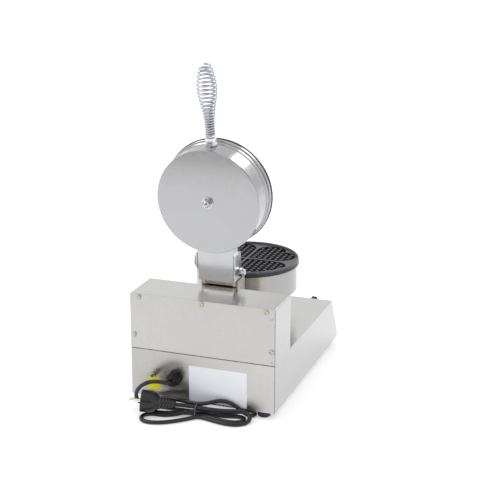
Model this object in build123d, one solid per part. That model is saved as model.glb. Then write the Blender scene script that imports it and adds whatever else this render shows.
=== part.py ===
from build123d import *
import math
import os

os.makedirs("parts", exist_ok=True)

# ---------------------------------------------------------------- driving dimensions (mm)
# Everything is laid out with Y = 0 on the back face and Z = 0 on the underside of the sheet base,
# front towards -Y, then moved so that the origin is under the middle of the whole machine.
FOOT_H = 12.0            # rubber feet under the base
WIDTH = 250.0            # base width
SHEET = 1.2              # sheet steel thickness
DECK_Z = 82.5            # height of the deck
DECK_FRONT = -331.5      # front edge of the deck
NOSE_Y = -370.5          # front of the nose
NOSE_Z = 10.4            # where the slope meets the nose
BOX_DEPTH = 80.5         # rear box, front to back
BOX_TOP = 177.5          # top of the rear box
PIV_Y, PIV_Z = -84.6, 204.6   # lid hinge axis
OPEN_DEG = 95.9          # lid opening angle
REACH = 132.9            # hinge axis to the middle of the plates
DRUM_Y = PIV_Y - REACH   # middle of the drum
PLATE_TOP = 188.0        # rim of the lower plate
PLATE_T = 9.5            # plate thickness
PLATE_R = 90.7           # plate radius at its rim face
PLATE_R2 = 91.7          # plate radius at its back
RIM_IN = 87.2            # inside radius of the plate's raised rim
LAND = 3.0               # land below the rim
RECESS = 4.0             # heart recess below the land
HEART_S = 51.5           # straight side of a heart
RIDGE = 2.0              # half width of the ridge between hearts
STUD_P = 10.0            # waffle stud pitch
GAP_CLOSED = 0.4         # rim to rim with the lid shut
DRUM_R = 88.0            # drum wall outside radius
DRUM_BOT = 130.5         # underside of the drum
LID_R = 86.8             # lid wall outside radius
LIP_R = 88.4             # lip of the lid wall at the plate
LID_H = 56.2             # rim face to cap face
ARM_W = 64.0             # lid arm width
CORD_D = 6.8             # mains lead diameter
RING_R = 90.4            # turned-down ring at the lid wall's edge, outside radius
SEAM = 0.9               # open seam between back panel and cover

SLOPE_LEN = math.hypot(DECK_FRONT - NOSE_Y, DECK_Z - NOSE_Z)
SLOPE_DEG = math.degrees(math.atan2(DECK_FRONT - NOSE_Y, DECK_Z - NOSE_Z))  # lean from vertical
KNOB_X = 82.0            # knobs either side of the middle
KNOB_S = 40.0            # knob centres down the slope
KNOB_H = 24.5            # knob height off the slope
BACK_REACH = 26.2        # furthest back: the lead entry's cap
FRONT_REACH = -380.59    # furthest front: the lower end of a knob's bar
ORIGIN_Y = -(FRONT_REACH + BACK_REACH) / 2.0


def box(x0, x1, y0, y1, z0, z1):
    return Pos((x0 + x1) / 2, (y0 + y1) / 2, (z0 + z1) / 2) * Box(abs(x1 - x0), abs(y1 - y0), abs(z1 - z0))


def cyl(r, z0, z1, x=0.0, y=0.0):
    return Pos(x, y, (z0 + z1) / 2) * Cylinder(r, z1 - z0)


def cyl_x(r, x0, x1, y=0.0, z=0.0):
    return Pos((x0 + x1) / 2, y, z) * Rot(0, 90, 0) * Cylinder(r, abs(x1 - x0))


def cyl_y(r, y0, y1, x=0.0, z=0.0):
    return Pos(x, (y0 + y1) / 2, z) * Rot(90, 0, 0) * Cylinder(r, abs(y1 - y0))


def prism_x(pts, x0, x1):
    # polygon given as (y, z) points, pushed out along X
    face = make_face(Polyline(*[(x0, y, z) for y, z in pts], close=True))
    return extrude(face, amount=abs(x1 - x0), dir=(1 if x1 > x0 else -1, 0, 0))


def hexagon_x(af, x0, x1, y=0.0, z=0.0):
    pts = [(y + af / math.sqrt(3) * math.cos(math.radians(60 * k + 30)),
            z + af / math.sqrt(3) * math.sin(math.radians(60 * k + 30))) for k in range(6)]
    return prism_x(pts, x0, x1)


def hexagon_z(af, z0, z1, x=0.0, y=0.0):
    f = Pos(x, y, z0) * RegularPolygon(af / math.sqrt(3), 6)
    return extrude(f, amount=z1 - z0)


def hexagon_y(af, y0, y1, x=0.0, z=0.0):
    f = Rot(-90, 0, 0) * RegularPolygon(af / math.sqrt(3), 6)
    s = extrude(f, amount=abs(y1 - y0), dir=(0, 1, 0))
    return Pos(x, min(y0, y1), z) * s


def revolve_z(pts):
    # (radius, z) outline turned about Z
    face = make_face(Polyline(*[(r, 0, z) for r, z in pts], close=True))
    return revolve(face, Axis.Z, 360)


SHIFT = Pos(0, ORIGIN_Y, FOOT_H)
LID = Pos(0, PIV_Y, PIV_Z) * Rot(-OPEN_DEG, 0, 0)
written = {}


def out(name, shape, place=None):
    if isinstance(shape, (list, tuple)):
        solids = []
        for s in shape:
            solids += list(s.solids())
    else:
        solids = list(shape.solids())
    loc = SHIFT if place is None else SHIFT * place
    solids = [loc * s for s in solids]
    obj = solids[0] if len(solids) == 1 else Compound(children=solids)
    export_step(obj, "parts/%s.step" % name)
    written[name] = solids
    return obj


# ---------------------------------------------------------------- base housing
def profile(d):
    # outline of the base side, inset by d
    a = math.radians(SLOPE_DEG)
    # slope line moved inwards by d, top line by d, nose by d
    ty, tz = -math.sin(a), -math.cos(a)      # down the slope
    ny, nz = math.cos(a), -math.sin(a)       # inwards
    py, pz = DECK_FRONT + ny * d, DECK_Z + nz * d
    z_top = DECK_Z - d
    k = (z_top - pz) / tz
    top = (py + ty * k, z_top)
    y_nose = NOSE_Y + d
    k = (y_nose - py) / ty
    nose = (y_nose, pz + tz * k)
    return top, nose


top0, nose0 = profile(0.0)
top1, nose1 = profile(SHEET)
outer = prism_x([(-1.3, 0), (-1.3, DECK_Z), top0, nose0, (NOSE_Y, 0)], -WIDTH / 2, WIDTH / 2)
long_edges = [e for e in outer.edges() if abs(e.length - WIDTH) < 0.01 and e.center().Z > 5 and e.center().Y < -10]
outer = fillet(long_edges, 1.6)
deck_side = [e for e in outer.edges() if e.center().Z > DECK_Z - 0.2 and abs(abs(e.center().X) - WIDTH / 2) < 0.1]
outer = fillet(deck_side, 1.2)
inner = prism_x([(5, -5), (5, DECK_Z - SHEET), top1, nose1, (NOSE_Y + SHEET, -5)],
                -WIDTH / 2 + SHEET, WIDTH / 2 - SHEET)
housing = outer - inner

SLOPE = Pos(0, DECK_FRONT, DECK_Z) * Rot(90 - SLOPE_DEG, 0, 0) * Pos(0, -KNOB_S, 0)
for kx in (-KNOB_X, KNOB_X):
    housing -= SLOPE * cyl(5.0, -6, 6, kx, 0)
housing -= SLOPE * box(-11, 11, -14.5, 14.5, -6, 6)
for lx in (-30, 30):
    housing -= SLOPE * cyl(5.2, -6, 6, lx, 0)
# holes in the deck for the wiring
housing -= cyl(20.0, DECK_Z - 5, DECK_Z + 5, 0, DRUM_Y)
housing -= cyl(13.0, DECK_Z - 5, DECK_Z + 5, 2, -42)
out("base_housing", housing)

back = box(-WIDTH / 2 + 0.1, WIDTH / 2 - 0.1, -SHEET, 0, 0.2, DECK_Z + 0.4 - SEAM)
GX, GZ = 45.6, 40.5      # lead entry
EX, EZ = 82.8, 43.0      # earth stud
back -= cyl_y(8.3, -5, 5, GX, GZ)
back -= cyl_y(2.6, -5, 5, EX, EZ)
back = fillet([e for e in back.edges().filter_by(Axis.Y)], 1.0)
out("back_panel", back)

bottom = box(-WIDTH / 2 + SHEET + 0.2, WIDTH / 2 - SHEET - 0.2, NOSE_Y + SHEET + 0.3, -SHEET - 0.3, 0.0, SHEET)
FEET = [(-102, -16.5), (102, -16.5), (-102, -345), (102, -345)]
for fx, fy in FEET:
    bottom -= cyl(2.6, -5, 5, fx, fy)
BS = [(-115, -120), (115, -120), (-115, -250), (115, -250), (0, -12), (0, -360)]
for sx, sy in BS:
    bottom -= cyl(2.1, -5, 5, sx, sy)
out("bottom_plate", bottom)
scr = []
for sx, sy in BS:
    scr.append(cyl(3.6, -2.0, -0.05, sx, sy) + cyl(2.0, -0.1, 7.0, sx, sy))
out("bottom_plate_screws", scr)

feet, foot_scr = [], []
for fx, fy in FEET:
    f = Pos(fx, fy, 0) * revolve_z([(0, -FOOT_H), (9.5, -FOOT_H), (10.5, -FOOT_H + 1), (12.0, -1.0), (12.0, -0.05), (0, -0.05)])
    f -= cyl(4.6, -FOOT_H - 1, -FOOT_H + 5.0, fx, fy)
    f -= cyl(2.6, -FOOT_H - 1, 1, fx, fy)
    feet.append(f)
    foot_scr.append(cyl(4.2, -FOOT_H + 2.2, -FOOT_H + 4.95, fx, fy) + cyl(2.4, -FOOT_H + 4.5, 6.0, fx, fy))
out("rubber_feet", feet)
out("foot_screws", foot_scr)

# ---------------------------------------------------------------- rear box
rb = box(-WIDTH / 2, WIDTH / 2, -BOX_DEPTH, -1.3, DECK_Z + 0.05, BOX_TOP)
rb = fillet([e for e in rb.edges() if (abs(e.center().Z - BOX_TOP) < 0.1 or
             (abs(e.center().Y + BOX_DEPTH) < 0.1 and abs(abs(e.center().X) - WIDTH / 2) < 0.1))
             and e.center().Y < -1.4], 1.5)
rb -= box(-WIDTH / 2 + SHEET, WIDTH / 2 - SHEET, -BOX_DEPTH + SHEET, 10, DECK_Z - 5, BOX_TOP - SHEET)
# flanges the cover plate screws to
rb += box(-WIDTH / 2 + SHEET, WIDTH / 2 - SHEET, -2.5, -1.3, BOX_TOP - 11, BOX_TOP - SHEET)
rb += box(-WIDTH / 2 + SHEET, -WIDTH / 2 + 12, -2.5, -1.3, DECK_Z + 0.05, BOX_TOP - SHEET)
rb += box(WIDTH / 2 - 12, WIDTH / 2 - SHEET, -2.5, -1.3, DECK_Z + 0.05, BOX_TOP - SHEET)
COVER_SCREWS = [(-109.6, 173.3), (0.0, 173.3), (109.6, 173.3), (-119.0, 107.0), (119.0, 107.0)]
for sx, sz in COVER_SCREWS:
    rb -= cyl_y(1.9, -6, 3, sx, sz)
rb -= box(-22, 22, -BOX_DEPTH - 2, -BOX_DEPTH + 4, 120, 150)
out("rear_box", rb)

rc = box(-WIDTH / 2 + 0.1, WIDTH / 2 - 0.1, -SHEET, 0, DECK_Z + 0.4, BOX_TOP)
rc = fillet([e for e in rc.edges().filter_by(Axis.Y)], 1.0)
for sx, sz in COVER_SCREWS:
    rc -= cyl_y(2.1, -6, 3, sx, sz)
out("rear_cover", rc)
scr = []
for sx, sz in COVER_SCREWS:
    dome = revolve_z([(0, 0), (4.1, 0), (4.1, 0.7), (3.6, 1.7), (2.4, 2.4), (0, 2.6)])
    dome -= box(-2.4, 2.4, -0.45, 0.45, 1.5, 4)
    dome -= box(-0.45, 0.45, -2.4, 2.4, 1.5, 4)
    s = dome + cyl(1.8, -9, 0.2)
    scr.append(Pos(sx, 0.05, sz) * Rot(-90, 0, 0) * s)
out("rear_cover_screws", scr)

# ---------------------------------------------------------------- lead entry, earth stud, plates on the back
g = hexagon_y(22.0, 0.1, 6.0, GX, GZ) + cyl_y(8.1, -9.0, 0.2, GX, GZ) + cyl_y(8.0, 5.9, 13.0, GX, GZ)
g -= cyl_y(CORD_D / 2 + 0.25, -20, 20, GX, GZ)
out("gland_body", [g, hexagon_y(22.0, -6.5, -1.3, GX, GZ) - cyl_y(8.15, -20, 5, GX, GZ)])
cap = Pos(GX, 6.2, GZ) * Rot(-90, 0, 0) * revolve_z(
    [(8.2, 0), (11.3, 0), (11.3, 9.0), (10.4, 12.0), (8.2, 14.6), (6.2, 17.6), (5.6, 20.0), (CORD_D / 2 + 0.2, 20.0),
     (CORD_D / 2 + 0.2, 7.2), (8.2, 7.2)])
for k in range(12):
    a = math.radians(30 * k)
    cap -= Pos(GX + 11.9 * math.cos(a), 0, GZ + 11.9 * math.sin(a)) * cyl_y(1.25, 6.0, 15.5)
out("gland_cap", cap)
out("earth_stud", cyl_y(2.4, -14.0, 14.6, EX, EZ) + hexagon_y(8.0, -14.0, -10.0, EX, EZ))
washer = cyl_y(5.0, 0.05, 1.2, EX, EZ) - cyl_y(2.45, -5, 30, EX, EZ)
nut1 = hexagon_y(8.0, 1.3, 4.6, EX, EZ) - cyl_y(2.45, -5, 30, EX, EZ)
washer2 = cyl_y(4.8, 7.2, 8.2, EX, EZ) - cyl_y(2.45, -5, 30, EX, EZ)
nut2 = hexagon_y(8.0, 8.3, 12.2, EX, EZ) - cyl_y(2.45, -5, 30, EX, EZ)
nut3 = hexagon_y(8.0, -5.2, -1.3, EX, EZ) - cyl_y(2.45, -20, 30, EX, EZ)
out("earth_stud_nuts", [washer, nut1, washer2, nut2, nut3])
out("white_plate_blank", box(-77.6, 22.6, 0.02, 0.32, 2.6, 64.0))
out("yellow_plate_blank", box(74.4, 96.2, 0.02, 0.32, 12.2, 34.3))

# ---------------------------------------------------------------- drum pedestal, drum, lower plate
ped = cyl(56.0, DECK_Z + 0.05, DRUM_BOT - 0.05, 0, DRUM_Y) - cyl(54.5, 0, 300, 0, DRUM_Y)
ped += cyl(66.0, DECK_Z + 0.05, DECK_Z + 1.6, 0, DRUM_Y) - cyl(54.5, 0, 300, 0, DRUM_Y)
out("drum_pedestal", ped)

SEAT = PLATE_TOP - PLATE_T
drum = revolve_z([(18, DRUM_BOT), (DRUM_R - 2.0, DRUM_BOT), (DRUM_R, DRUM_BOT + 2.0), (DRUM_R, SEAT - 0.05),
                  (DRUM_R - 8, SEAT - 0.05), (DRUM_R - 8, SEAT - 1.2), (DRUM_R - 1.2, SEAT - 1.2),
                  (DRUM_R - 1.2, DRUM_BOT + 2.2), (DRUM_R - 2.2, DRUM_BOT + 1.2), (18, DRUM_BOT + 1.2)])
drum = Pos(0, DRUM_Y, 0) * drum
out("drum_shell", drum)


def heart_face(inset):
    # heart in the +x +y quarter, its point towards the middle, straight sides along the ridges
    c = RIDGE + inset
    s = HEART_S
    r = s / 2 - inset
    sq_hi = RIDGE + s
    pts = [(c, c), (sq_hi, c), (sq_hi, sq_hi), (c, sq_hi)]
    f = make_face(Polyline(*[(x, y, 0) for x, y in pts], close=True))
    f += Pos(RIDGE + s, RIDGE + s / 2, 0) * Circle(r)
    f += Pos(RIDGE + s / 2, RIDGE + s, 0) * Circle(r)
    # the notch between the lobes
    return f


def heart_plate():
    # cooking face up: rim at z = 0, back at z = -PLATE_T, middle on the origin
    body = revolve_z([(0, -PLATE_T), (PLATE_R2, -PLATE_T), (PLATE_R2, -PLATE_T + 2.0), (PLATE_R + 0.1, -0.8),
                      (PLATE_R - 0.7, 0), (RIM_IN + 0.6, 0), (RIM_IN, -LAND), (0, -LAND)])
    hf = heart_face(0.0)
    pocket = extrude(hf, amount=-RECESS, taper=0)
    pocket = Pos(0, 0, -LAND) * pocket
    core = extrude(heart_face(1.2), amount=RECESS)
    studs = None
    one = loft([Pos(0, 0, 0) * Rectangle(6.8, 6.8), Pos(0, 0, RECESS) * Rectangle(4.4, 4.4)])
    made = []
    for i in range(1, 9):
        for j in range(1, 9):
            u, v = i * STUD_P, j * STUD_P
            # stud centres kept inside the heart
            inside = (RIDGE + 2.4 < u < RIDGE + HEART_S and RIDGE + 2.4 < v < RIDGE + HEART_S)
            for cx, cy in ((RIDGE + HEART_S, RIDGE + HEART_S / 2), (RIDGE + HEART_S / 2, RIDGE + HEART_S)):
                if math.hypot(u - cx, v - cy) < HEART_S / 2 - 3.2:
                    inside = True
            if inside:
                made.append(Pos(u, v, -LAND - RECESS) * one)
    quarter = Compound(children=[m for m in made]) if False else made
    for k in range(4):
        body -= Rot(0, 0, 90 * k) * pocket
    allst = []
    for k in range(4):
        allst += [Rot(0, 0, 90 * k) * m for m in quarter]
    body = body.fuse(*allst) if hasattr(body, "fuse") else body
    return body, len(made)


plate, n_studs = heart_plate()
print("studs per heart", n_studs)
lower = Pos(0, DRUM_Y, PLATE_TOP) * plate
# three blind stud bosses under the plate
for k in range(3):
    a = math.radians(90 + 120 * k)
    lower += cyl(5.0, SEAT - 6.0, SEAT + 0.5, 36 * math.cos(a), DRUM_Y + 36 * math.sin(a))
out("lower_heart_plate", lower)


def element_ring(zc):
    ring = Pos(0, 0, zc) * Torus(58.0, 4.0)
    ring -= box(-9, 9, 40, 80, zc - 10, zc + 10)
    legs = None
    y0 = math.sqrt(58.0 ** 2 - 9.0 ** 2)
    for s in (-1, 1):
        ring += cyl(4.0, zc - 18.0, zc, s * 12.0, 56.5)
    return ring


el = element_ring(0)
out("lower_element", Pos(0, DRUM_Y, SEAT - 4.15) * el)
clampd = cyl(70, 0, 1.5) - cyl(6, -5, 5) - box(-20, 20, 46, 80, -5, 5)
for k in range(3):
    a = math.radians(90 + 120 * k)
    clampd -= cyl(2.6, -5, 5, 36 * math.cos(a), 36 * math.sin(a))
out("lower_element_clamp", Pos(0, DRUM_Y, SEAT - 9.9) * clampd)
lst = []
for k in range(3):
    a = math.radians(90 + 120 * k)
    cx, cy = 36 * math.cos(a), DRUM_Y + 36 * math.sin(a)
    lst.append(cyl(2.4, SEAT - 16.0, SEAT - 6.05, cx, cy))
    lst.append(hexagon_z(8.0, SEAT - 14.4, SEAT - 10.0, cx, cy) - cyl(2.45, 0, 300, cx, cy))
out("lower_plate_studs", lst)
ins = cyl(80, 0, 18) - cyl(10, -5, 30) - box(-22, 22, 44, 90, -5, 30)
out("lower_insulation", Pos(0, DRUM_Y, DRUM_BOT + 4) * ins)

# ---------------------------------------------------------------- hinge post, yoke, pin
POST_TOP = 186.8
post = box(-ARM_W / 2, ARM_W / 2, -118, -82, DECK_Z + 0.05, POST_TOP)
post = fillet([e for e in post.edges() if abs(e.center().Y + 82) < 0.1 and abs(abs(e.center().X) - ARM_W / 2) < 0.1], 1.5)
post -= box(-ARM_W / 2 + 1.5, ARM_W / 2 - 1.5, -130, -83.5, DECK_Z - 5, POST_TOP + 5)
post -= box(-24.5, 24.5, -90, -80, 160.0, 179.6)
post -= box(-16, 16, -90, -80, 118.0, 150.0)
for s in (-1, 1):
    post += box(s * (ARM_W / 2 - 0.2), s * (ARM_W / 2 + 13), -118, -84, DECK_Z + 0.05, DECK_Z + 1.6)
    post -= cyl_y(1.7, -90, -80, s * 27.0, 183.2)
out("hinge_post", post)

EAR_X0, EAR_X1 = 27.0, 29.0
ca, sa = math.cos(math.radians(OPEN_DEG)), math.sin(math.radians(OPEN_DEG))


def lid_point(r, n):
    # lid coordinates (along the lid from the hinge, out through the cap) to panel coordinates, lid open
    return PIV_Y - ca * r + sa * n, PIV_Z + sa * r + ca * n


ear_pts = [(-116, 140), (-116, 182), (-97.5, 205), (-95.5, 211), (-91, 216.5), (-84.6, 218.6), (-78, 217.4), (-73, 213),
           (-70.3, 207), lid_point(-1.0, 14.2), lid_point(-12.0, 14.2), lid_point(-15.0, 11.0), (-84.5, 187), (-85.1, 186.0),
           (-85.1, 140)]
yoke = None
for s in (-1, 1):
    e = prism_x(ear_pts, s * EAR_X0, s * EAR_X1)
    yoke = e if yoke is None else yoke + e
yoke += box(-EAR_X1, EAR_X1, -85.2, -83.65, 140, 186.5)
yoke -= box(-22, 22, -90, -80, 155, 179.6)
yoke -= box(-14, 14, -90, -80, 130, 150)
yoke -= cyl_x(6.05, -40, 40, PIV_Y, PIV_Z)
for s in (-1, 1):
    yoke -= cyl_y(1.7, -90, -80, s * 27.0, 183.2)
out("hinge_yoke", yoke)
# rubber bumpers on the back edges of the ears: the open lid's arm rests on them
bump = []
for s in (-1, 1):
    pts = [lid_point(-1.5, 16.72), lid_point(-11.5, 16.72), lid_point(-11.5, 9.0), lid_point(-1.5, 9.0)]
    edge = [lid_point(-0.5, 14.25), lid_point(-12.5, 14.25), lid_point(-12.5, 8.0), lid_point(-0.5, 8.0)]
    b = prism_x(pts, s * 25.2, s * 29.35) - prism_x(edge, s * 26.95, s * 29.05)
    bump.append(b)
out("open_stop_bumpers", bump)
scr = []
for s in (-1, 1):
    scr.append(cyl_y(2.9, -81.95, -80.2 + 0.0, s * 27.0, 183.2) + cyl_y(1.6, -88.5, -81.9, s * 27.0, 183.2))
out("yoke_screws", scr)
bushes = []
for s in (-1, 1):
    b = cyl_x(6.0, s * 26.2, s * 29.05, PIV_Y, PIV_Z) + cyl_x(8.0, s * 29.05, s * 30.2, PIV_Y, PIV_Z)
    bushes.append(b - cyl_x(4.05, -40, 40, PIV_Y, PIV_Z))
out("hinge_bushes", bushes)

# pin, nut and washers turn with the lid (lid frame: origin on the hinge axis, lid shut)
pin = cyl_x(4.0, -44.0, 33.3) + cyl_x(6.4, 33.3, 38.4)
pin = fillet([e for e in pin.edges() if abs(e.center().X - 38.4) < 0.05], 1.5)
out("hinge_pin", pin, LID)
nutp = hexagon_x(12.6, -40.8, -33.6)
ndome = Pos(-40.8, 0, 0) * Rot(0, -90, 0) * revolve_z([(0, 0), (5.6, 0), (5.3, 2.2), (4.0, 3.9), (2.0, 4.8), (0, 5.0)])
nutp = nutp + ndome
nutp -= cyl_x(4.02, -44.1, 0)
wsh = [nutp]
for s in (-1, 1):
    wsh.append(cyl_x(6.8, s * 32.05, s * 33.25) - cyl_x(4.1, -50, 50))
out("hinge_nut", wsh, LID)

# ---------------------------------------------------------------- lid arm (lid frame, y = -r, z = n)
RIM_Z = PLATE_TOP + GAP_CLOSED - PIV_Z          # lid rim face in the lid frame
BACK_Z = RIM_Z + PLATE_T                        # back of the upper plate
CAP_Z = RIM_Z + LID_H                           # outer face of the cap
N_OUT = 18.3
arm_out = prism_x([(13.0, N_OUT), (13.0, -11.0), (-3.0, -9.4), (-32.0, -2.0), (-54.0, -2.0), (-54.0, N_OUT)],
                  -ARM_W / 2, ARM_W / 2)
arm_out = fillet([e for e in arm_out.edges() if abs(e.center().Z - N_OUT) < 0.1 and abs(abs(e.center().X) - ARM_W / 2) < 0.1], 2.6)
arm_in = box(-ARM_W / 2 + 1.5, ARM_W / 2 - 1.5, -60, 20, -30, N_OUT - 1.5)
arm_in = fillet([e for e in arm_in.edges() if abs(e.center().Z - N_OUT + 1.5) < 0.1 and abs(abs(e.center().X) - ARM_W / 2 + 1.5) < 0.1], 1.1)
arm = arm_out - arm_in
arm -= cyl_x(4.1, -50, 50)
arm -= cyl(LID_R + 0.06, -40, 60, 0, -REACH)
arm -= cyl(LIP_R + 0.1, -40, BACK_Z + 11.3, 0, -REACH)
arm -= cyl(RING_R + 0.15, -40, BACK_Z + 2.1, 0, -REACH)
out("lid_arm", arm, LID)
side = []
for s in (-1, 1):
    pl = prism_x([(-7.4, N_OUT - 0.6), (-7.4, -8.4), (-9.4, -10.4), (-31.5, -10.4), (-33.5, -8.4), (-33.5, N_OUT - 0.6)],
                 s * (ARM_W / 2 + 0.05), s * (ARM_W / 2 + 2.5))
    side.append(pl)
out("arm_side_plates", side, LID)

# ---------------------------------------------------------------- lid shell, cap, plate and inside parts
shell = revolve_z([(LIP_R - 8.0, BACK_Z + 0.05), (RING_R - 1.35, BACK_Z + 0.05), (RING_R - 1.35, BACK_Z - 4.85), (RING_R, BACK_Z - 4.85),
                   (RING_R, BACK_Z + 0.7), (RING_R - 0.8, BACK_Z + 1.5), (LIP_R, BACK_Z + 1.9), (LIP_R, BACK_Z + 9.0), (LID_R, BACK_Z + 11.2),
                   (LID_R, CAP_Z - 1.3), (LID_R - 8.0, CAP_Z - 1.3), (LID_R - 8.0, CAP_Z - 2.5), (LID_R - 1.2, CAP_Z - 2.5),
                   (LID_R - 1.2, BACK_Z + 11.0), (LIP_R - 1.2, BACK_Z + 8.8), (LIP_R - 1.2, BACK_Z + 1.25),
                   (LIP_R - 8.0, BACK_Z + 1.25)])
shell = Pos(0, -REACH, 0) * shell
HAN_N = 12.0             # handle height over the hinge axis plane, at the lid wall
HAN_TILT = 4.4
HAN = Pos(0, -REACH - LID_R, HAN_N) * Rot(90, 0, 0) * Rot(HAN_TILT * -1, 0, 0)
shell -= HAN * cyl(4.2, -12, 8)
shell -= box(-16, 16, -60, -30, 6.5, 15.5)
out("lid_shell", shell, LID)
lcap = Pos(0, -REACH, 0) * revolve_z([(0, CAP_Z - 1.25), (LID_R - 0.1, CAP_Z - 1.25), (LID_R - 0.1, CAP_Z - 0.9),
                                      (LID_R - 0.4, CAP_Z - 0.3), (LID_R - 0.9, CAP_Z), (0, CAP_Z)])
lcap -= cyl(3.2, -20, 80, 0, -REACH)
out("lid_cap", lcap, LID)
cn = hexagon_z(13.0, CAP_Z + 1.55, CAP_Z + 6.5, 0, -REACH)
cn += Pos(0, -REACH, CAP_Z + 6.4) * revolve_z([(0, 0), (6.0, 0), (5.7, 2.4), (4.4, 4.4), (2.2, 5.6), (0, 5.9)])
cn -= cyl(3.02, -20, CAP_Z + 8.0, 0, -REACH)
cw = cyl(9.8, CAP_Z + 0.05, CAP_Z + 1.5, 0, -REACH) - cyl(3.1, -20, 80, 0, -REACH)
out("cap_nut", [cn, cw], LID)
out("lid_centre_stud", cyl(3.0, BACK_Z + 9.0, CAP_Z + 7.9, 0, -REACH), LID)

# the upper plate's back half is turned down to sit inside the ring
upper = plate - (cyl(PLATE_R2 + 5, -PLATE_T - 1, -4.5) - cyl(RING_R - 1.55, -PLATE_T - 2, 0))
upper = Pos(0, -REACH, RIM_Z) * Rot(180, 0, 0) * upper
upper += cyl(7.0, BACK_Z - 0.5, BACK_Z + 8.95, 0, -REACH)
out("upper_heart_plate", upper, LID)
out("upper_element", Pos(0, -REACH, BACK_Z + 4.15) * Rot(180, 0, 180) * el, LID)
uclamp = cyl(70, 0, 1.5) - cyl(9, -5, 5) - box(-20, 20, 46, 80, -5, 5)
out("upper_element_clamp", Pos(0, -REACH, BACK_Z + 8.4) * uclamp, LID)
uins = cyl(82, 0, 16) - cyl(10, -5, 30) - box(-24, 24, 44, 90, -5, 30) - box(-9, 9, -90, -60, -5, 30)
out("upper_insulation", Pos(0, -REACH, BACK_Z + 24.0) * uins, LID)

# ---------------------------------------------------------------- handle (its own frame: z out along the handle)
out("handle_stud", HAN * cyl(4.0, -7.0, 34.0), LID * Pos(0, 0, 0))
hn = HAN * (hexagon_z(17.0, 2.3, 6.7) - cyl(4.1, -5, 30))
hw = HAN * (cyl(9.6, 0.95, 2.2) - cyl(4.1, -5, 30))
hi = HAN * (hexagon_z(13.0, -7.8, -3.0) - cyl(4.1, -20, 30))
out("handle_nuts", [hn, hw, hi], LID)
fer = revolve_z([(4.1, 6.8), (8.0, 6.8), (9.0, 7.6), (9.0, 13.4), (8.2, 14.4), (6.0, 15.4), (6.0, 30.0), (4.1, 30.0)])
out("handle_ferrule", HAN * fer, LID)
# grip outline: the envelope of the coils, scalloped at each turn, hollow inside
COIL = [(15.6, 8.9), (22, 8.5), (34, 8.5), (41, 8.8), (49, 10.0), (57, 10.7), (65, 12.4), (72, 13.8), (81, 15.8),
        (90, 16.8), (99.5, 17.1), (112, 15.6), (122, 13.2), (128.5, 11.4), (133.5, 8.6), (136.5, 6.6)]


def coil_r(s):
    for (s0, r0), (s1, r1) in zip(COIL, COIL[1:]):
        if s <= s1:
            t = (s - s0) / (s1 - s0)
            return r0 + (r1 - r0) * max(0.0, t)
    return COIL[-1][1]


turns = [17.3]
while turns[-1] < 134.0:
    s = turns[-1]
    p = 4.2 if s < 40 else (4.2 + (6.4 - 4.2) * min(1.0, (s - 40) / 25.0))
    turns.append(s + p)
print("coil turns", len(turns), "last", round(turns[-1], 1))
outer_pts = []
for k, s in enumerate(turns):
    outer_pts.append((coil_r(s), s))
    if k + 1 < len(turns):
        m = (s + turns[k + 1]) / 2
        outer_pts.append((coil_r(m) - 1.1, m))
outer_pts = [(coil_r(15.6) - 0.6, 15.7)] + outer_pts + [(coil_r(turns[-1]) - 1.2, turns[-1] + 1.5)]
inner_pts = [(max(r - 2.6, 3.0), s) for r, s in outer_pts]
inner_pts = [(6.15 if s < 30.5 else r, s) for r, s in inner_pts]
grip = revolve_z(outer_pts + list(reversed(inner_pts)))
out("coil_grip", HAN * grip, LID)

# lead to the lid heater, fixed in the arm
lw = box(-5, 5, -58, -16, 8.0, 14.0)
lw = fillet([e for e in lw.edges().filter_by(Axis.Y)], 2.4)
out("lid_heater_lead", lw, LID)

# ---------------------------------------------------------------- controls
KN = SLOPE


def knob():
    k = revolve_z([(0, 1.2), (21.0, 1.2), (21.0, 4.5), (19.6, 7.2), (0, 7.6)])
    bar = box(-6, 6, -19, 19, 5, KNOB_H)
    bar = fillet([e for e in bar.edges().filter_by(Axis.Z)], 4.0)
    bar = fillet([e for e in bar.edges() if abs(e.center().Z - KNOB_H) < 0.05], 1.5)
    k += bar
    k -= cyl(3.05, -1, 16)
    return k


kn = knob()
out("thermostat_knob", KN * Pos(-KNOB_X, 0, 0) * kn)
out("timer_knob", KN * Pos(KNOB_X, 0, 0) * kn)
tb = box(-19, 19, -22, 22, -34, -2.4) + cyl(4.6, -2.5, -1.3 + 1.2) + cyl(3.0, -0.2, 12)
tb = KN * Pos(-KNOB_X, 0, 0) * tb
out("thermostat_body", tb)
tm = cyl(21, -32, -2.4) + cyl(4.6, -2.5, -0.1) + cyl(3.0, -0.2, 12)
tm = KN * Pos(KNOB_X, 0, 0) * tm
out("timer_body", tm)
sw = box(-12.5, 12.5, -16, 16, 0.05, 2.2) + box(-10.8, 10.8, -14.3, 14.3, -24, 0.1)
sw -= box(-8.6, 8.6, -12.6, 12.6, -12, 5)
ROCK_Z = -3.0            # rocker axis below the slope face
sw -= Pos(0, 0, ROCK_Z) * cyl_x(1.55, -9.6, 9.6)
out("power_switch_body", KN * sw)
rk = prism_x([(-11.0, -5.2), (-11.2, 4.6), (0, 3.0), (11.2, 4.6), (11.0, -5.2), (4, -7.5), (-4, -7.5)], -8.2, 8.2)
rk = fillet([e for e in rk.edges() if abs(e.length - 16.4) < 0.1 and e.center().Z > 4], 0.8)
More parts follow.
